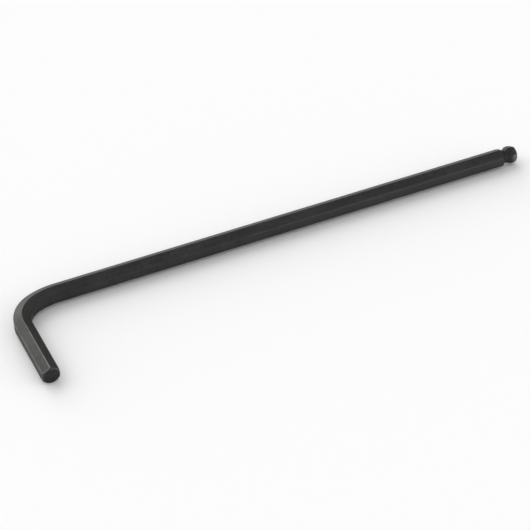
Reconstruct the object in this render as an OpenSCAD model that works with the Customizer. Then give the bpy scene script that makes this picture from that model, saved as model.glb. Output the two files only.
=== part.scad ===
// Hex key with a long arm and a ball end, lying flat as it comes to rest on a bench.
// It is one bar of hexagonal steel, cut to length, bent once through a right angle,
// chamfered at the short end and turned to a neck and a ball at the long end.
// Flats run round the outer and the inner side of the bend, so one ridge of the bar
// runs along the top of the whole key and another along the bottom.
// The long arm runs along +X to its ball, and the short arm runs along -Y.
// The origin lies on the bench, below the middle of the space that the key fills.

/* [Bar] */
// Distance across two opposite flats of the bar
across_flats = 5; // [4.5:0.05:6]
// Radius that the drawing die leaves on the six ridges of the bar
ridge_radius = 0.25; // [0.1:0.05:0.8]

/* [Arms] */
// Long arm, from the outer flat of the short arm to the tip of the ball
long_arm = 165; // [80:1:260]
// Short arm, from the outer flat of the long arm to its own end face
short_arm = 33.75; // [24:0.05:60]

/* [Bend] */
// Radius of the bar's middle line in the tight stretch of the bend, next to the short arm
tight_radius = 9.6; // [7:0.1:14]
// How far along the long arm the easy stretch has its centre beyond the tight one's
ease_along = 3.75; // [1:0.05:6]
// How far down the short arm the easy stretch has its centre beyond the tight one's
ease_across = 9; // [5:0.1:14]

/* [Short end] */
// Diameter of the round face that the chamfer leaves on the short end
end_face_diameter = 4.94; // [3.5:0.02:5.2]
// Angle between that face and the chamfer round it
end_chamfer_angle = 45; // [20:1:60]

/* [Ball end] */
// How much less the ball measures across its faces than the bar across its flats
ball_slack = 0.1; // [0.05:0.05:0.4]
// Radius of each ball face along the bar, more than half the ball so that it can swing
face_crown_radius = 3.1; // [2.9:0.05:6]
// How much turning takes off the corners at the middle of the ball
corner_turned = 0.02; // [0.01:0.01:0.2]
// Distance from the middle of the ball to its tip
ball_to_tip = 1.5; // [1:0.05:1.9]
// Width of the chamfer round the tip, on a slope of 45 degrees
tip_chamfer = 0.28; // [0.1:0.02:0.5]
// Depth of the neck below the flats of the bar
neck_depth = 0.47; // [0.2:0.01:0.9]
// Radius of the round-nosed tool that cuts the hollow of the neck
neck_tool_radius = 0.95; // [0.5:0.05:1.6]
// How far that tool bites into the shoulder and into the back of the ball
tool_bite = 0.02; // [0.01:0.01:0.05]
// Angle between the shoulder behind the neck and the middle line of the bar
shoulder_angle = 38; // [25:1:65]
// Height above the neck at which the ball faces run out
face_runout = 0.03; // [0.01:0.01:0.1]

/* [Hidden] */
$fn = 96;

// The bar: its flats, the small hexagon through the centres of its rounded ridges,
// and the height of a ridge above the middle line
flat_height = across_flats / 2;
ridge_centre = (flat_height - ridge_radius) / cos(30);
ridge_height = ridge_centre + ridge_radius;
flat_turns = [0, 60, 120];
ridge_turns = [30:60:330];

// The bend, measured from the point where the middle lines of the arms meet: the place
// where each arm leaves it, the centres of its two stretches and the seam between them
easy_radius = tight_radius + norm([ease_along, ease_across]);
long_start = tight_radius + ease_along;
short_start = easy_radius - ease_across;
tight_centre = [tight_radius, -short_start];
easy_centre = [long_start, -easy_radius];
seam_steps = ceil((short_start + across_flats) / ease_across);
seam_end = tight_centre + seam_steps * [-ease_along, ease_across];
fan_left = min(0, seam_end[0]) - across_flats;

// The straight stretch of each arm, the long one as far as the middle of its ball
short_straight = short_arm - flat_height - short_start;
long_straight = long_arm - flat_height - long_start - ball_to_tip;

// The ball, measured along the bar from its middle
face_height = flat_height - ball_slack / 2;
ball_radius = face_height / cos(30) - corner_turned;
tip_radius = sqrt(pow(ball_radius, 2) - pow(ball_to_tip, 2)) - tip_chamfer;

// The neck: the middle of the tool, and the points of the ball and of the shoulder nearest to it
neck_radius = flat_height - neck_depth;
tool_height = neck_radius + neck_tool_radius;
tool_gap = neck_tool_radius - tool_bite;
tool_place = -sqrt(pow(ball_radius + tool_gap, 2) - pow(tool_height, 2));
ball_back = [tool_height, tool_place] * ball_radius / (ball_radius + tool_gap);
shoulder_foot = [tool_height, tool_place] - tool_gap * [cos(shoulder_angle), sin(shoulder_angle)];
shoulder_reach = 2 * across_flats;
shoulder_top = shoulder_foot[1] - (shoulder_reach - shoulder_foot[0]) / tan(shoulder_angle);

// Where the middle lines of the arms meet, with the key lying on its lower ridges
corner_place = [flat_height - long_arm / 2, short_arm / 2 - flat_height, ridge_height];

// Section of the bar: flats facing left and right, ridges at the top and the bottom
module bar_section() {
    for (turn = flat_turns)
        rotate(turn)
            square([across_flats, ridge_centre], center = true);
    for (turn = ridge_turns)
        rotate(turn)
            translate([ridge_centre, 0])
                circle(ridge_radius);
}

// Straight bar along +Z
module bar(length) {
    linear_extrude(height = length)
        bar_section();
}

// Bar bent to a ring round the centre, of which the fan keeps one stretch
module bent_bar(centre, radius, fan) {
    intersection() {
        translate(centre)
            rotate_extrude()
                translate([radius, 0])
                    bar_section();
        linear_extrude(height = 2 * across_flats, center = true)
            polygon(fan);
    }
}

// Right angle between the arms: a tight stretch, then one that eases into the long arm
module bend() {
    bent_bar(tight_centre, tight_radius, [
        tight_centre,
        seam_end,
        [fan_left, seam_end[1]],
        [fan_left, -short_start]
    ]);
    bent_bar(easy_centre, easy_radius, [
        easy_centre,
        [long_start, seam_end[1]],
        seam_end
    ]);
}

// Short arm along -Y, its end cut square and chamfered by a cone
module short_bar() {
    cone_growth = short_straight / tan(end_chamfer_angle);
    translate([0, -short_start, 0])
        rotate([90, 0, 0])
            intersection() {
                bar(short_straight);
                cylinder(
                    h = short_straight,
                    r1 = end_face_diameter / 2 + cone_growth,
                    r2 = end_face_diameter / 2
                );
            }
}

// Half outline that the lathe cuts: the shoulder, the hollow of the neck, the ball and its tip.
// The radius is to the right and the middle line of the bar points up, from the ball's middle.
module turned_outline() {
    difference() {
        union() {
            polygon([
                [0, -long_arm],
                [shoulder_reach, -long_arm],
                [shoulder_reach, shoulder_top],
                shoulder_foot,
                ball_back,
                [ball_back[0], 0],
                [0, 0]
            ]);
            intersection() {
                circle(ball_radius);
                polygon([
                    [0, -across_flats],
                    [across_flats, -across_flats],
                    [across_flats, ball_to_tip - across_flats + tip_radius],
                    [tip_radius, ball_to_tip],
                    [0, ball_to_tip]
                ]);
            }
        }
        translate([tool_height, tool_place])
            circle(neck_tool_radius);
    }
}

// Two opposite faces of the ball, crowned along the bar and run out just above the neck
module face_pair_outline() {
    crown_offset = face_crown_radius - face_height;
    intersection_for (side = [-1, 1])
        translate([side * crown_offset, 0])
            circle(face_crown_radius);
    translate([-neck_radius - face_runout, shoulder_foot[1]])
        square([2 * (neck_radius + face_runout), -shoulder_foot[1]]);
}

// Six crowned faces round the middle line of the bar
module ball_faces() {
    intersection_for (turn = flat_turns)
        rotate(turn)
            rotate([90, 0, 0])
                linear_extrude(height = 4 * across_flats, center = true)
                    face_pair_outline();
}

// Long arm along +X: hexagonal bar as far as the neck, then the ball, both inside the turned form
module long_bar() {
    translate([long_start, 0, 0])
        rotate([90, 0, 90])
            intersection() {
                union() {
                    bar(long_straight + tool_place);
                    translate([0, 0, long_straight])
                        ball_faces();
                }
                translate([0, 0, long_straight])
                    rotate_extrude()
                        turned_outline();
            }
}

// The whole key, one piece of blackened steel
module hex_key() {
    color([0.3, 0.3, 0.31])
        translate(corner_place) {
            short_bar();
            bend();
            long_bar();
        }
}

hex_key();
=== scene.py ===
# %% [markdown]
# # A hex key of blackened steel
#
# This lesson dresses one solid tool for a picture: an L-shaped hex key with a turned ball
# on its long arm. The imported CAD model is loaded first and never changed. Round it we lay
# a finer skin of the same form, give that skin a procedural finish, and light it softly.
# Every length in the lesson is written in millimetres and goes into Blender in metres.

import math

import bpy
import numpy as np
from mathutils import Matrix, Vector


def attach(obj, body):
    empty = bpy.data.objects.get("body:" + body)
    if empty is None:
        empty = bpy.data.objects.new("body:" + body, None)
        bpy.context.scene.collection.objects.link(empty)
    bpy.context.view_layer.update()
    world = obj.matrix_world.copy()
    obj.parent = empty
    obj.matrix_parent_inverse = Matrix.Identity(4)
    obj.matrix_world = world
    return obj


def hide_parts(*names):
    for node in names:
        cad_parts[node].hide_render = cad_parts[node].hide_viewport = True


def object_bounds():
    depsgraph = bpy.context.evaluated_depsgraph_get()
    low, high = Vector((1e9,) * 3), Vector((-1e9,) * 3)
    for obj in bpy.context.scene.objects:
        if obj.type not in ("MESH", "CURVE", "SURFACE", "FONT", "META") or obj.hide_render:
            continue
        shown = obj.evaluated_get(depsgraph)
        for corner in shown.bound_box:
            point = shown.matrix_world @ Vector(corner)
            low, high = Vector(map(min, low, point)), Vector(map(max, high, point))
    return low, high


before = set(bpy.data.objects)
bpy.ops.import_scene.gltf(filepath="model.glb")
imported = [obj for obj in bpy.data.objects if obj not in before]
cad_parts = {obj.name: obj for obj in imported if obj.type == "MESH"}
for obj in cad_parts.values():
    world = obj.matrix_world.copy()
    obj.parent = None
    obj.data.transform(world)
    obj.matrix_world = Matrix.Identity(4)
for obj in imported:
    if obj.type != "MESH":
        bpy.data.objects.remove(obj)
cad_low, cad_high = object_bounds()
MM = 0.001
print("CAD box in mm:", [round(side / MM, 3) for side in cad_high - cad_low])

# %% [markdown]
# ## The camera
#
# A camera is a place, a direction and a lens. The direction is told as for a globe: how far
# round (azimuth), how far up (elevation), and how much the camera itself leans (roll). A long
# lens from more than half a metre away keeps the two arms of such a long, thin tool nearly
# parallel, as a catalogue picture does. We build the camera's own three axes from the angles,
# because a matrix made of them needs no guess about the order of turns.

# %% Camera
AIM = Vector((-8.326, -0.300, 2.957)) * MM
AZIMUTH, ELEVATION, ROLL = (math.radians(angle) for angle in (-24.794, 40.858, -0.470))
DISTANCE = 606.44 * MM

backwards = Vector((
    math.sin(AZIMUTH) * math.cos(ELEVATION),
    -math.cos(AZIMUTH) * math.cos(ELEVATION),
    math.sin(ELEVATION),
))
level = Vector((math.cos(AZIMUTH), math.sin(AZIMUTH), 0))
upwards = backwards.cross(level)
to_the_right = level * math.cos(ROLL) + upwards * math.sin(ROLL)
to_the_top = upwards * math.cos(ROLL) - level * math.sin(ROLL)

camera_data = bpy.data.cameras.new("camera")
camera_data.sensor_width = 36
camera_data.lens = 143.49
camera_data.clip_start, camera_data.clip_end = 0.01, 100
camera = bpy.data.objects.new("camera", camera_data)
bpy.context.scene.collection.objects.link(camera)
turn = Matrix((to_the_right, to_the_top, backwards)).transposed().to_4x4()
camera.matrix_world = Matrix.Translation(AIM + backwards * DISTANCE) @ turn
bpy.context.scene.camera = camera
print("camera at", [round(x, 4) for x in camera.location])

# %% [markdown]
# ## Steps round the bar
#
# The key is made of hexagonal bar. Cut across, its edge is at one distance from the middle line
# for each angle, so a section is a function of the angle alone. We count angles from the outer
# side of the bend, where the bar has a flat, and so the ridges are at 30, 90, 150 degrees and
# so on. A flat needs few steps. A ridge is a small arc left by the drawing die, and it gets
# five short steps on each side, or its highlight would break into facets.

# %% Steps round the bar
# Height of the flats above the middle line, and the radius of the small arc on each ridge
FLAT = 2.5
RIDGE_ARC = 0.25
RIDGE_CENTRE = (FLAT - RIDGE_ARC) / math.cos(math.radians(30))

flat_ends = math.degrees(math.atan2(RIDGE_CENTRE / 2, FLAT))
up_the_ridge = flat_ends + (30 - flat_ends) * np.array([0, 0.2, 0.4, 0.6, 0.8, 1])
half = np.concatenate(([0, 5, 10, 15, 19, 22.5, 25, 26.7], up_the_ridge))
sixth = np.concatenate((half, 60 - half[-2:0:-1]))
around = np.radians((np.arange(6)[:, None] * 60 + sixth).ravel())
off_flat = np.abs((around + math.pi / 6) % (math.pi / 3) - math.pi / 6)


def bar_radius(off_flat):
    """Distance of the bar's edge from its middle line, at an angle from the nearest flat's middle.

    On the flat it is the flat's height over the cosine of the angle. Past the flat's end it is
    where the ray meets the arc of the ridge: the ridge centre's distance times the cosine of the
    angle left to the ridge, plus the root of the arc's radius squared less the sine part squared.
    """
    left = math.pi / 6 - off_flat
    on_flat = FLAT / np.cos(off_flat)
    across = RIDGE_CENTRE * np.sin(left)
    on_arc = RIDGE_CENTRE * np.cos(left) + np.sqrt(np.clip(RIDGE_ARC**2 - across**2, 0, None))
    return np.where(off_flat <= math.radians(flat_ends), on_flat, on_arc)


BAR = bar_radius(off_flat)
print(len(around), "steps round; the bar is", round(2 * BAR.min(), 3), "mm across its flats and",
      round(2 * BAR.max(), 3), "mm across its ridges")

# %% [markdown]
# ## Rows along the bar
#
# The whole skin is one sheet of rows and columns. A column is a step round the bar, and a row
# has two numbers in each column: how far along the middle line it is, and how far out from it.
# So the sheet is two arrays, which we call along and out. A third array says where a tool cut
# the bar, and a fourth says how far the finish is rubbed away, with painted highlights on some
# edges. We collect the rows band by band, from the middle of the short end to the tip of the ball.

# %% Collecting rows
columns = len(around)
bands = []


def add_band(along, out, cut=0.0, wear_and_glint=0.0):
    """Keeps some rows, given as arrays of rows by columns. Single numbers and rows are spread out."""
    rows = max(np.atleast_2d(part).shape[0] for part in (along, out, cut, wear_and_glint))
    bands.append([np.broadcast_to(part, (rows, columns)) for part in (along, out, cut, wear_and_glint)])


def column_of(values):
    """Numbers that belong to rows, stood upright so that they spread over the columns."""
    return np.asarray(values, float)[:, None]


def between(first, last, steps, hem=0.03):
    """Rows from one edge line to the next: first + (last - first) times a share, leaving out last.

    The shares are even, except for a narrow hem of rows close to both edge lines, hem mm wide.
    Smooth shading turns only there, so the surface between two edges stays as flat as it should.
    """
    span = last - first
    width = np.minimum(hem / np.abs(span), 0.25)
    even = column_of(np.linspace(0, 1, steps + 1)[1:-1])
    inner = width + (1 - 2 * width) * even
    shares = np.vstack((0 * width[None], width[None], inner, 1 - width[None]))
    return first + span * shares


# %% [markdown]
# ## The short end
#
# The bar was cut square and its end was chamfered by a cone, which leaves a round face. Where
# the cone runs off the bar, the edge is a scallop: further along at the ridges, which stand
# higher, and nearer to the face at the flats. If rows ran straight round the bar, that scallop
# would come out as a staircase. So the rows follow it: the edge line is worked out for each
# column as the place where the cone is exactly as high as the bar.

# %% Short end
# Radius of the round face, and the angle between it and the chamfer
END_FACE = 2.47
END_ANGLE = math.radians(45)

scallop = (BAR - END_FACE) * math.tan(END_ANGLE)
face_rings = END_FACE * column_of([0.08, 0.35, 0.7, 0.9, 0.97])
# The end's rim and chamfer edges are made lighter: partly rubbed, partly a painted highlight
add_band(0.0, face_rings, cut=1.0, wear_and_glint=column_of([0, 0, 0, 0, 0.2]))
chamfer_shares = column_of([0, 0.15, 0.5, 0.85, 1])
add_band(
    scallop * chamfer_shares,
    END_FACE + (BAR - END_FACE) * chamfer_shares,
    cut=column_of([1, 1, 1, 1, 0]),
    wear_and_glint=column_of([0.65, 0.25, 0, 0.25, 0.65]),
)
add_band(scallop + column_of([0.04, 0.12, 0.3]), BAR, wear_and_glint=column_of([0.5, 0.25, 0.05]))
print("the chamfer runs from", round(scallop.min(), 3), "to", round(scallop.max(), 3), "mm along")

# %% [markdown]
# ## The arms and the bend
#
# Along the arms and round the bend the section stays the same, so the rows need only their
# places along the middle line. They stand close together in the bend and far apart on the
# straight. The bend isn't one arc. It is tight next to the short arm, where the former held
# the bar, and it eases into the long arm, where the bar was free to spring. The centre of the
# easy arc lies further along the long arm and further down the short one than the tight one's,
# and the line through both centres meets the bar where the arcs join. The lengths of the two
# arms are read from the CAD box. Points are placed from the corner where the middle lines of
# the two arms would meet if there were no bend. The last stretch before the ball's middle is
# left out here, because the ball end gets rows of its own.

# %% Arms and bend
# Radius of the middle line in the tight arc, and how far the easy arc's centre lies beyond it
TIGHT_RADIUS = 9.6
EASE_ALONG, EASE_ACROSS = 3.75, 9.0
# From the ball's middle to its tip, and back to where the rows of the ball end begin
TIP, BALL_END_LENGTH = 1.5, 4.3

# The box is kept in single precision, so its sides are rounded to a thousandth of a millimetre
long_arm, short_arm = (round(side / MM, 3) for side in (cad_high - cad_low)[:2])
corner = np.array([FLAT - long_arm / 2, short_arm / 2 - FLAT, BAR.max()])
short_reach, long_reach = short_arm - FLAT, long_arm - FLAT

easy_radius = TIGHT_RADIUS + math.hypot(EASE_ALONG, EASE_ACROSS)
tight_turn = math.atan2(EASE_ACROSS, EASE_ALONG)
bend_starts = short_reach - (easy_radius - EASE_ACROSS)
bend_eases = bend_starts + TIGHT_RADIUS * tight_turn
bend_ends = bend_eases + easy_radius * (math.pi / 2 - tight_turn)
ball_middle = bend_ends + long_reach - TIP - (TIGHT_RADIUS + EASE_ALONG)

stations = np.concatenate((
    np.linspace(1, bend_starts, 12, endpoint=False),
    np.linspace(bend_starts, bend_eases, 32, endpoint=False),
    np.linspace(bend_eases, bend_ends, 10, endpoint=False),
    np.linspace(bend_ends, ball_middle - BALL_END_LENGTH, 56, endpoint=False),
))
add_band(column_of(stations), BAR)
print("the bend turns", round(math.degrees(tight_turn), 2), "degrees tightly and the rest easily;",
      "the ball's middle is", round(ball_middle, 3), "mm along")

# %% [markdown]
# ## What the lathe cuts
#
# The ball end is turned: a sloping shoulder, a hollow neck, a ball and a chamfered tip. Each is
# a simple line or circle, so the radius that the lathe leaves is a function of the place along
# the bar. Places are counted from the ball's middle, forwards to the tip. The round-nosed tool
# that cuts the hollow bites a little into the shoulder and the ball, and so its circle begins
# and ends where it crosses them.

# %% Lathe outline
# Heights above the middle line: the middle of a ball face, and the bottom of the neck
FACE, NECK = FLAT - 0.05, FLAT - 0.47
# What turning takes off the ball's corners, and how wide it chamfers the tip
CORNER_TURNED, TIP_CHAMFER = 0.02, 0.28
# Radius of the round-nosed tool, how far it bites, and the slope of the shoulder
TOOL, BITE = 0.95, 0.02
SLOPE = math.radians(38)

BALL_RADIUS = FACE / math.cos(math.radians(30)) - CORNER_TURNED
TIP_FACE = math.sqrt(BALL_RADIUS**2 - TIP**2) - TIP_CHAMFER
TOOL_OUT = NECK + TOOL
TOOL_PLACE = -math.sqrt((BALL_RADIUS + TOOL - BITE) ** 2 - TOOL_OUT**2)

foot_out = TOOL_OUT - (TOOL - BITE) * math.cos(SLOPE)
foot_place = TOOL_PLACE - (TOOL - BITE) * math.sin(SLOPE)
half_chord = math.sqrt(TOOL**2 - (TOOL - BITE) ** 2)
hollow_starts = foot_place - half_chord * math.cos(SLOPE)
centres_apart = BALL_RADIUS + TOOL - BITE
towards_tool = (centres_apart**2 + BALL_RADIUS**2 - TOOL**2) / (2 * centres_apart)
beside = math.sqrt(BALL_RADIUS**2 - towards_tool**2)
hollow_ends = (towards_tool * TOOL_PLACE + beside * TOOL_OUT) / centres_apart


def lathe_radius(place):
    """Radius that the lathe leaves at a place along the bar, counted from the ball's middle.

    The shoulder falls in a straight line. The hollow is the tool's distance from the middle
    line less the root of its radius squared less the distance along squared. The ball is the
    root of its radius squared less the place squared, and a 45 degree line trims its tip.
    """
    shoulder = foot_out + (foot_place - place) * math.tan(SLOPE)
    hollow = TOOL_OUT - np.sqrt(np.clip(TOOL**2 - (place - TOOL_PLACE) ** 2, 0, None))
    ball = np.sqrt(np.clip(BALL_RADIUS**2 - place**2, 0, None))
    trimmed = np.minimum(ball, TIP_FACE + TIP - place)
    return np.where(place < hollow_starts, shoulder, np.where(place < hollow_ends, hollow, trimmed))


print("neck", round(2 * float(lathe_radius(TOOL_PLACE)), 3), "mm, ball", round(2 * BALL_RADIUS, 3), "mm")

# %% [markdown]
# ## What the six faces leave
#
# The ball still has to turn a screw, so it keeps six faces. Each one is crowned along the bar,
# and that is what lets the key lean over in the socket. At any place the solid is as high as
# the lower of the two: what the lathe left, and what the faces left. That is all a boolean
# intersection does here, so one call to minimum stands for it.

# %% Faces of the ball
# Radius of a face along the bar, and the height at which the faces run out
CROWN, RUN_OUT = 3.1, NECK + 0.03


def face_radius(place, off_flat):
    """Distance of the ball's faces from the middle line: crowned height over cosine of the angle.

    The crowned height is the root of the crown's radius squared less the place squared, less
    the crown centre's distance, and it never falls below the height at which the faces run out.
    """
    crowned = np.sqrt(CROWN**2 - np.clip(place, -CROWN, CROWN) ** 2) - (CROWN - FACE)
    return np.maximum(crowned, RUN_OUT) / np.cos(off_flat)


def solid_radius(place, off_flat):
    """The lower of the lathe's radius and the bar's, or past the hollow's middle, the faces'."""
    kept = np.where(place < TOOL_PLACE, bar_radius(off_flat), face_radius(place, off_flat))
    return np.minimum(lathe_radius(place), kept)


# %% [markdown]
# ## Edge lines of the ball end
#
# Five edge lines run round this end, and like the scallop each is found from the two surfaces
# that meet in it: bar and shoulder, shoulder and hollow, hollow and face, flat and crowned part
# of the face, face and tip chamfer. The second and the fourth are at the same place in every
# column. The last one is where a circle meets a slanted line, so it is the smaller root of a
# quadratic equation.

# %% Edge lines
cosine = np.cos(off_flat)
shoulder_edge = foot_place - (BAR - foot_out) / math.tan(SLOPE)
hollow_edge = np.full(columns, hollow_starts)
rise = TOOL_OUT - RUN_OUT / cosine
face_edge = TOOL_PLACE + np.sqrt(TOOL**2 - rise**2)
face_edge = np.minimum(face_edge, hollow_ends)
crown_edge = np.full(columns, -math.sqrt(CROWN**2 - (RUN_OUT + CROWN - FACE) ** 2))
reach = CROWN - FACE + cosine * (TIP_FACE + TIP)
root = np.sqrt(reach**2 * cosine**2 - (1 + cosine**2) * (reach**2 - CROWN**2))
tip_edge = np.minimum((reach * cosine - root) / (1 + cosine**2), TIP - 0.02)
tip_rim = np.full(columns, TIP)
print("the shoulder's edge runs from", round(shoulder_edge.min(), 3), "to",
      round(shoulder_edge.max(), 3), "mm and the tip's from", round(tip_edge.min(), 3), "to",
      round(tip_edge.max(), 3), "mm")

# %% [markdown]
# ## Rows of the ball end
#
# Each band of rows runs from one edge line to the next, and all of them past the shoulder's
# edge were cut by a tool. With each row goes how far it is rubbed, which here also carries
# painted highlights. The tip meets the floor of every socket, so its edge is rubbed, and a
# painted highlight makes it lighter still. The face that looks to the inside of the bend bears
# hardest, because a hand pulls the key that way, and its whole front half is made lighter grey:
# partly rubbed, partly a painted reflection. It spans 30 degrees to each side of its middle, and
# one degree more takes in the column on each of its edges.

# %% Ball end
def rising(place, start, length):
    """0 up to the start, then an even rise to 1 over the length."""
    return np.clip((place - start) / length, 0, 1)


# How far the tip's rubbing and painted highlight reach back from its edge, where a face's begins, and
# over what length
TIP_WEAR_REACH = 0.3
FACE_WEAR_STARTS, FACE_WEAR_RISE = -0.8, 1.4

# The inner face is made lighter: partly rubbed, partly a painted reflection
looks_inwards = np.abs(around - math.pi) < math.radians(30 + 1)
face_glint_and_wear_level = np.where(looks_inwards, 0.82, 0.12)
start = np.full(columns, -BALL_END_LENGTH)
for first, last, steps, cut in (
    (start, shoulder_edge, 2, 0),
    (shoulder_edge, hollow_edge, 3, 1),
    (hollow_edge, face_edge, 14, 1),
    (face_edge, crown_edge, 4, 1),
    (crown_edge, tip_edge, 26, 1),
    (tip_edge, tip_rim, 4, 1),
):
    place = between(first, last, steps)
    shoulder_worn = 0.12 * np.exp(-((place - shoulder_edge) / 0.09) ** 2)
    # Lighter tip edge and inner face: partly rubbed, partly painted highlight and reflection
    tip_wear_and_glint = 0.4 * rising(place, tip_edge - TIP_WEAR_REACH, TIP_WEAR_REACH)
    face_wear_and_glint = face_glint_and_wear_level * rising(place, FACE_WEAR_STARTS, FACE_WEAR_RISE) ** 1.3
    wear_and_glint = np.maximum(shoulder_worn, np.maximum(tip_wear_and_glint, face_wear_and_glint))
    add_band(ball_middle + place, solid_radius(place, off_flat), cut, wear_and_glint)
tip_rings = solid_radius(tip_rim, off_flat) * column_of([1, 0.97, 0.8, 0.5, 0.2])
add_band(ball_middle + TIP, tip_rings, cut=1.0, wear_and_glint=column_of([0.6, 0.2, 0, 0, 0]))
print(sum(band[0].shape[0] for band in bands), "rows in", len(bands), "bands")

# %% [markdown]
# ## Carrying the sheet along the middle line
#
# Now the sheet is bent. The middle line runs straight up the short arm, round two arcs and
# straight along the long arm. At each place along it there is a direction towards the outside
# of the bend, and the third direction is always up. A point of the sheet goes to the middle
# line's place, plus the outward direction times the cosine of its angle, plus up times the sine.

# %% Carry the sheet
along, out, cut, wear_and_glint = (np.vstack([band[part] for band in bands]) for part in range(4))


def carried(along, out, around):
    """Points of the bent bar: middle line + out * (cos(angle) * outwards + sin(angle) * up).

    The middle line is a sum: the way up the short arm, then each arc as its radius times the
    change of the outward direction, and last the way along the long arm.
    """
    tight = np.clip((along - bend_starts) / TIGHT_RADIUS, 0, tight_turn)
    easy = np.clip((along - bend_eases) / easy_radius, 0, math.pi / 2 - tight_turn)
    turn = tight + easy
    outward_x, outward_y = -np.cos(turn), np.sin(turn)
    x = (
        TIGHT_RADIUS * (1 - np.cos(tight))
        + easy_radius * (np.cos(tight) - np.cos(turn))
        + np.clip(along - bend_ends, 0, None)
    )
    y = (
        -short_reach
        + np.clip(along, None, bend_starts)
        + TIGHT_RADIUS * np.sin(tight)
        + easy_radius * (np.sin(turn) - np.sin(tight))
    )
    level_part = out * np.cos(around)
    return np.stack((x + level_part * outward_x, y + level_part * outward_y, out * np.sin(around)), -1)


points = corner + carried(along, out, around)
short_pole = corner + carried(np.zeros(1), np.zeros(1), np.zeros(1))
tip_pole = corner + carried(np.full(1, ball_middle + TIP), np.zeros(1), np.zeros(1))
print("sheet of", points.shape[0], "rows by", points.shape[1], "columns")

# %% [markdown]
# ## From arrays to a mesh
#
# Four neighbours in the sheet make one face. Their numbers come from one array of row and
# column counts, and the last column joins the first, which closes the skin round the bar. A
# fan of triangles closes each end at its middle. The order of the corners decides which side
# is the outside: going round first and then along points the faces outwards.
#
# The finish has to follow the steel and not the room, because the draw lines of the bar went
# round the bend with it. So we also keep, for every point, its place in the bar before it was
# bent, how far a tool has travelled to reach it, the cut number of its row, and how far the row
# is rubbed, which also carries painted highlights. The material reads all four.

# %% Build the mesh
rows = points.shape[0]
number = np.arange(rows * columns).reshape(rows, columns)
following = np.roll(number, -1, axis=1)
quads = np.stack((number[:-1], following[:-1], following[1:], number[1:]), -1).reshape(-1, 4)
short_fan = np.stack((np.full(columns, rows * columns), following[0], number[0]), -1)
tip_fan = np.stack((np.full(columns, rows * columns + 1), number[-1], following[-1]), -1)

skin_mesh = bpy.data.meshes.new("hex_key_skin")
vertices = np.vstack((points.reshape(-1, 3), short_pole, tip_pole)) * MM
skin_mesh.from_pydata(vertices.tolist(), [], quads.tolist() + short_fan.tolist() + tip_fan.tolist())
skin_mesh.polygons.foreach_set("use_smooth", np.ones(len(skin_mesh.polygons), bool))

unbent = np.stack((along, out * np.cos(around), out * np.sin(around)), -1).reshape(-1, 3)
unbent = np.vstack((unbent, (0, 0, 0), (ball_middle + TIP, 0, 0)))
travel = np.cumsum(np.hypot(np.diff(along, axis=0, prepend=0), np.diff(out, axis=0, prepend=0)), 0)
travel = np.concatenate((travel.ravel(), (0, travel[-1].max())))
for name, kind, field, values in (
    ("straight_bar", "FLOAT_VECTOR", "vector", unbent),
    ("tool_travel", "FLOAT", "value", travel),
    ("cut", "FLOAT", "value", np.concatenate((cut.ravel(), (1, 1)))),
    ("wear_and_glint", "FLOAT", "value", np.concatenate((wear_and_glint.ravel(), (0, 0)))),
):
    layer = skin_mesh.attributes.new(name, kind, "POINT")
    layer.data.foreach_set(field, values.astype(np.float32).ravel())
skin_mesh.update()

hex_key = bpy.data.objects.new("hex_key_skin", skin_mesh)
bpy.context.scene.collection.objects.link(hex_key)
print(len(skin_mesh.polygons), "faces,", len(skin_mesh.vertices), "points; the mesh is sound:",
      not skin_mesh.validate())

# %% [markdown]
# ## Writing shader maths
#
# A material is a graph of nodes, and a formula written as a graph is hard to read. This small
# class wraps a socket so that ordinary arithmetic works on it: each sum or product quietly adds
# a Math node. Its one method adds any other kind of node. Settings come first, because some of
# them change which sockets the node has.

# %% Wires
class Wire:
    """A socket that gives a value inside one material. Arithmetic with it adds Math nodes."""

    def __init__(self, tree, socket=None):
        self.tree, self.socket = tree, socket

    def node(self, kind, settings=None, inputs=None, output=0):
        """Adds a node: its settings first, then values or wires for its sockets. Gives one output."""
        made = self.tree.nodes.new("ShaderNode" + kind)
        for name, value in (settings or {}).items():
            setattr(made, name, value)
        for name, value in (inputs or {}).items():
            if isinstance(value, Wire):
                self.tree.links.new(value.socket, made.inputs[name])
            else:
                made.inputs[name].default_value = value
        return Wire(self.tree, made.outputs[output])

    def maths(self, operation, first, second=0.0):
        """Adds a Math node with an operation and two numbers or wires."""
        return self.node("Math", {"operation": operation}, {0: first, 1: second})

    def __add__(self, other):
        return self.maths("ADD", self, other)

    def __sub__(self, other):
        return self.maths("SUBTRACT", self, other)

    def __rsub__(self, other):
        return self.maths("SUBTRACT", other, self)

    def __mul__(self, other):
        return self.maths("MULTIPLY", self, other)

    __radd__ = __add__
    __rmul__ = __mul__


def stretched(place, factors):
    """A place with each of its three numbers multiplied by its own factor."""
    return place.node("VectorMath", {"operation": "MULTIPLY"}, {0: place, 1: factors})


def cloudy(place, per_mm, detail=2.0):
    """Smooth random values from 0 to 1, with about so many clouds to a millimetre."""
    return place.node("TexNoise", {}, {"Vector": place, "Scale": per_mm, "Detail": detail})


def ramp(value, low, high):
    """0 below low, 1 above high, and a soft slope between them."""
    return value.node(
        "MapRange",
        {"interpolation_type": "SMOOTHSTEP"},
        {"Value": value, "From Min": low, "From Max": high},
    )


def tinted(share, colour, other):
    """The first colour where share is 0, the other where it is 1, mixed between."""
    return share.node("Mix", {"data_type": "RGBA"}, {0: share, 6: colour, 7: other}, 2)


steel = bpy.data.materials.new("black_oxide_on_drawn_steel")
steel.use_nodes = True
steel.node_tree.nodes.clear()
graph = Wire(steel.node_tree)
place = graph.node("Attribute", {"attribute_name": "straight_bar"}, output="Vector")
print("nodes so far:", len(steel.node_tree.nodes))

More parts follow.
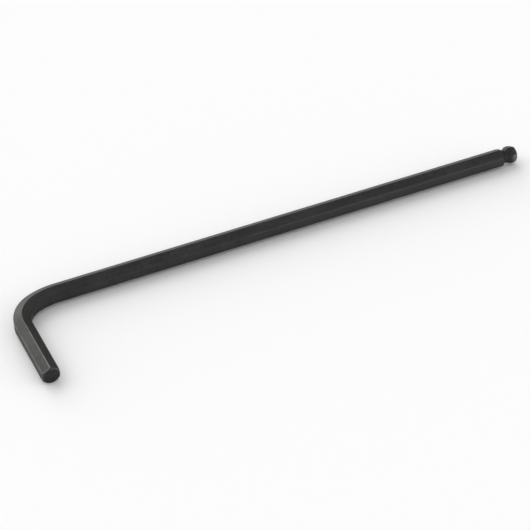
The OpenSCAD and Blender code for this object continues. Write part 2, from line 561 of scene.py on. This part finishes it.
# %% [markdown]
# ## Clouds, lines and marks
#
# Black oxide isn't paint. It is the steel's own skin, turned dark in a hot bath, and it shows
# everything that was on the steel before. We make four kinds of pattern on the unbent bar:
# clouds from the bath, from a centimetre down to a fifth of a millimetre wide, draw lines that
# run the length of the bar, a fine grain, and the rings that a tool's feed left where it cut.
# The smallest clouds bend the rings a little, because no lathe runs perfectly true.

# %% Patterns
patches = cloudy(place, 0.11, 3.0)
mottle = cloudy(place, 0.9, 4.0)
spots = cloudy(place, 1.9, 1.0)
speckle = cloudy(place, 4.5)
draw_lines = cloudy(stretched(place, (0.035, 3.6, 3.6)), 1.0, 3.0)
grain = cloudy(place, 9.0, 1.0)
cut_part = graph.node("Attribute", {"attribute_name": "cut"}, output="Fac")
tool_travel = graph.node("Attribute", {"attribute_name": "tool_travel"}, output="Fac")
FEED = 0.11
rings = graph.maths("SINE", tool_travel * (2 * math.pi / FEED) + 3.0 * speckle)
print("patterns made;", len(steel.node_tree.nodes), "nodes")

# %% [markdown]
# ## Worn ridges
# A key is held by its ridges, and they rub bright first. Here that brightness is partly a
# painted highlight. The ridges need no mask from an image: in the unbent bar they are at fixed
# angles, so the distance to the nearest one can be worked out in the shader. A ping-pong node
# folds the angle into the 30 degrees from flat to ridge. The short arm is gripped and turned
# most, and with the painted highlight its ridges are the brightest. The bend keeps its black
# ones, and some brightness comes back along the far half of the long arm, partly rubbed and
# partly painted highlight. Clouds break the bands up, because rubbing is never even.

# %% Wear
distance = place.node("SeparateXYZ", {}, {"Vector": place}, "X")
outwards = place.node("SeparateXYZ", {}, {"Vector": place}, "Y")
height = place.node("SeparateXYZ", {}, {"Vector": place}, "Z")
angle = graph.maths("ARCTAN2", height, outwards)
folded = graph.maths("PINGPONG", angle, math.pi / 6)
off_ridge = (math.pi / 6 - folded) * float(BAR.max())
on_short_arm = 1 - ramp(distance, 17, 26)
on_far_half = ramp(distance, 75, 115)
# Ridge brightness: partly rubbed steel, partly a painted highlight
ridge_wear_and_highlight_level = 2.1 * on_short_arm + 0.45 * on_far_half
ridge_wear_and_highlight = (1 - ramp(off_ridge, 0.06, 0.30)) * ridge_wear_and_highlight_level * (1 - cut_part)
# Rubbed edges, with painted highlights on the tip, the inner ball face and the end's edges
edge_wear_and_glint = graph.node("Attribute", {"attribute_name": "wear_and_glint"}, output="Fac")
uneven = 0.45 + 0.35 * ramp(mottle, 0.4, 0.6) + 0.3 * ramp(spots, 0.35, 0.65)
wear_and_highlight = graph.maths("MAXIMUM", 0.24 * ridge_wear_and_highlight, edge_wear_and_glint) * uneven
print("wear made;", len(steel.node_tree.nodes), "nodes")

# %% [markdown]
# ## Black oxide
#
# The oxide is thin, so the surface is still a metal: it has no colour of its own apart from
# what it reflects, and its base colour is the darkness of that reflection. Clouds shift it a
# little, with more small spots on the short arm. A cut surface comes out deeper in tone. The
# ridge inside the bend gets the same deep tone as painted shade. Rubbing, with painted highlights
# on ridges and edges, shifts the colour towards steel. The inner flat of the long arm gets a
# painted reflection towards the ball: a faint purple tint, a little lighter. Specular Tint is the
# colour at a glancing angle, here dull and a little warm. The bump is written in thousandths of a
# millimetre, which keeps its size honest: draw lines two deep, grain one deep.

# %% Oxide
DARK = (0.042, 0.042, 0.042, 1)
PALE = (0.062, 0.062, 0.061, 1)
CUT_TONE_AND_PAINTED_SHADE = (0.036, 0.036, 0.037, 1)
PAINTED_REFLECTION_TINT = (0.064, 0.059, 0.0655, 1)
RUBBED_AND_HIGHLIT = (0.215, 0.212, 0.206, 1)

spotted = 0.1 + 0.5 * (1 - ramp(distance, 22, 44))
clouds = 0.42 * patches + 0.38 * mottle + 0.2 * draw_lines + spotted * (spots - 0.5)
shade = ramp(clouds, 0.34, 0.66)
inner_flat = ramp(0 - outwards, 1.7, 2.3)
# Painted reflection: a faint purple, lighter tint on the inner flat towards the ball
painted_reflection_share = inner_flat * ramp(distance, 80, 145) * (0.55 + 0.4 * patches)
in_the_bend = ramp(distance, 20, 24) * (1 - ramp(distance, 38, 52))
# Painted shade: the ridge inside the bend is given the cut surface's deep tone
painted_shade_on_inner_ridge = 0.55 * in_the_bend * inner_flat * (1 - ramp(off_ridge, 0.2, 0.7))
clouded_cut = cut_part * (1 - 0.6 * ramp(0.5 * spots + 0.5 * mottle, 0.4, 0.6))
# Deep tone of cut surfaces, and painted shade on the inner ridge of the bend
cut_tone_and_painted_shade = graph.maths("MAXIMUM", clouded_cut, painted_shade_on_inner_ridge)
oxide = tinted(cut_tone_and_painted_shade, tinted(painted_reflection_share, tinted(shade, DARK, PALE), PAINTED_REFLECTION_TINT), CUT_TONE_AND_PAINTED_SHADE)
# Shifts towards rubbed steel, which here also carries painted highlights
colour = tinted(wear_and_highlight, oxide, RUBBED_AND_HIGHLIT)
roughness = 0.36 + 0.10 * shade + 0.07 * (speckle - 0.5) - 0.07 * wear_and_highlight + 0.03 * cut_part
depth = 2.2 * draw_lines * (1 - cut_part) + 0.9 * grain + 1.2 * speckle + rings * cut_part
relief = graph.node("Bump", {}, {"Strength": 1.0, "Distance": 0.001 * MM, "Height": depth}, "Normal")
finish = graph.node(
    "BsdfPrincipled",
    {},
    {
        "Base Color": colour,
        "Metallic": 1.0,
        "Roughness": roughness,
        "Specular Tint": (0.735, 0.722, 0.695, 1),
        "Normal": relief,
    },
)
output = steel.node_tree.nodes.new("ShaderNodeOutputMaterial")
steel.node_tree.links.new(finish.socket, output.inputs["Surface"])
skin_mesh.materials.append(steel)
print("the finish has", len(steel.node_tree.nodes), "nodes")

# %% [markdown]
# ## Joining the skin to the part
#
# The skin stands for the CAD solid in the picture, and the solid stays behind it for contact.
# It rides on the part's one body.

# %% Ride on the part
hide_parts("hex_key")
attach(hex_key, "root")

# %% [markdown]
# ## The floor
#
# A dark tool reads best on a plain pale floor. It is one big sheet, so no edge of it shows,
# and its colour is almost white, so that the light on it stays at a plain level.

# %% Floor
FLOOR_HALF = 20.0
floor_mesh = bpy.data.meshes.new("floor")
floor_mesh.from_pydata(
    [(x, y, 0) for x, y in ((-FLOOR_HALF, -FLOOR_HALF), (FLOOR_HALF, -FLOOR_HALF),
                            (FLOOR_HALF, FLOOR_HALF), (-FLOOR_HALF, FLOOR_HALF))],
    [],
    [(0, 1, 2, 3)],
)
floor = bpy.data.objects.new("floor", floor_mesh)
bpy.context.scene.collection.objects.link(floor)
paper = bpy.data.materials.new("pale_floor")
paper.use_nodes = True
paper.node_tree.nodes["Principled BSDF"].inputs["Base Color"].default_value = (0.97, 0.97, 0.97, 1)
paper.node_tree.nodes["Principled BSDF"].inputs["Roughness"].default_value = 0.9
paper.node_tree.nodes["Principled BSDF"].inputs["Specular IOR Level"].default_value = 0.0
floor_mesh.materials.append(paper)
print("the floor is", 2 * FLOOR_HALF, "metres wide")

# %% [markdown]
# ## Light
#
# Metal shows its surroundings, so light for metal is mostly a matter of what stands round it.
# The room gives an even level, and the flats that face us mirror it. One very wide, soft lamp
# stands low behind and to the left: the upper flat of the short arm mirrors that, and the step
# between the two draws the ridge. A narrower lamp near the horizon brightens the upper flat
# where it turns through the bend, and a weak one low on the right reaches the ball's tip.

# %% Light
ROOM = 0.64
world = bpy.data.worlds.new("room")
world.use_nodes = True
world.node_tree.nodes["Background"].inputs["Color"].default_value = (1, 1, 1, 1)
world.node_tree.nodes["Background"].inputs["Strength"].default_value = ROOM
bpy.context.scene.world = world

# Name, direction towards the lamp, how wide it looks in degrees, strength
for name, direction, width, strength in (
    ("wide_lamp", (-0.45, 0.85, 0.25), 104, 2.55),
    ("back_strip", (-0.14, 0.97, 0.20), 36, 0.55),
    ("low_fill", (0.80, -0.57, 0.18), 50, 0.65),
):
    lamp_data = bpy.data.lights.new(name, "SUN")
    lamp_data.angle = math.radians(width)
    lamp_data.energy = strength
    lamp = bpy.data.objects.new(name, lamp_data)
    lamp.rotation_mode = "QUATERNION"
    lamp.rotation_quaternion = Vector(direction).to_track_quat("Z", "Y")
    bpy.context.scene.collection.objects.link(lamp)
bpy.context.scene.view_settings.view_transform = "Standard"
print("room", ROOM, "and", len(bpy.data.lights), "soft lamps")
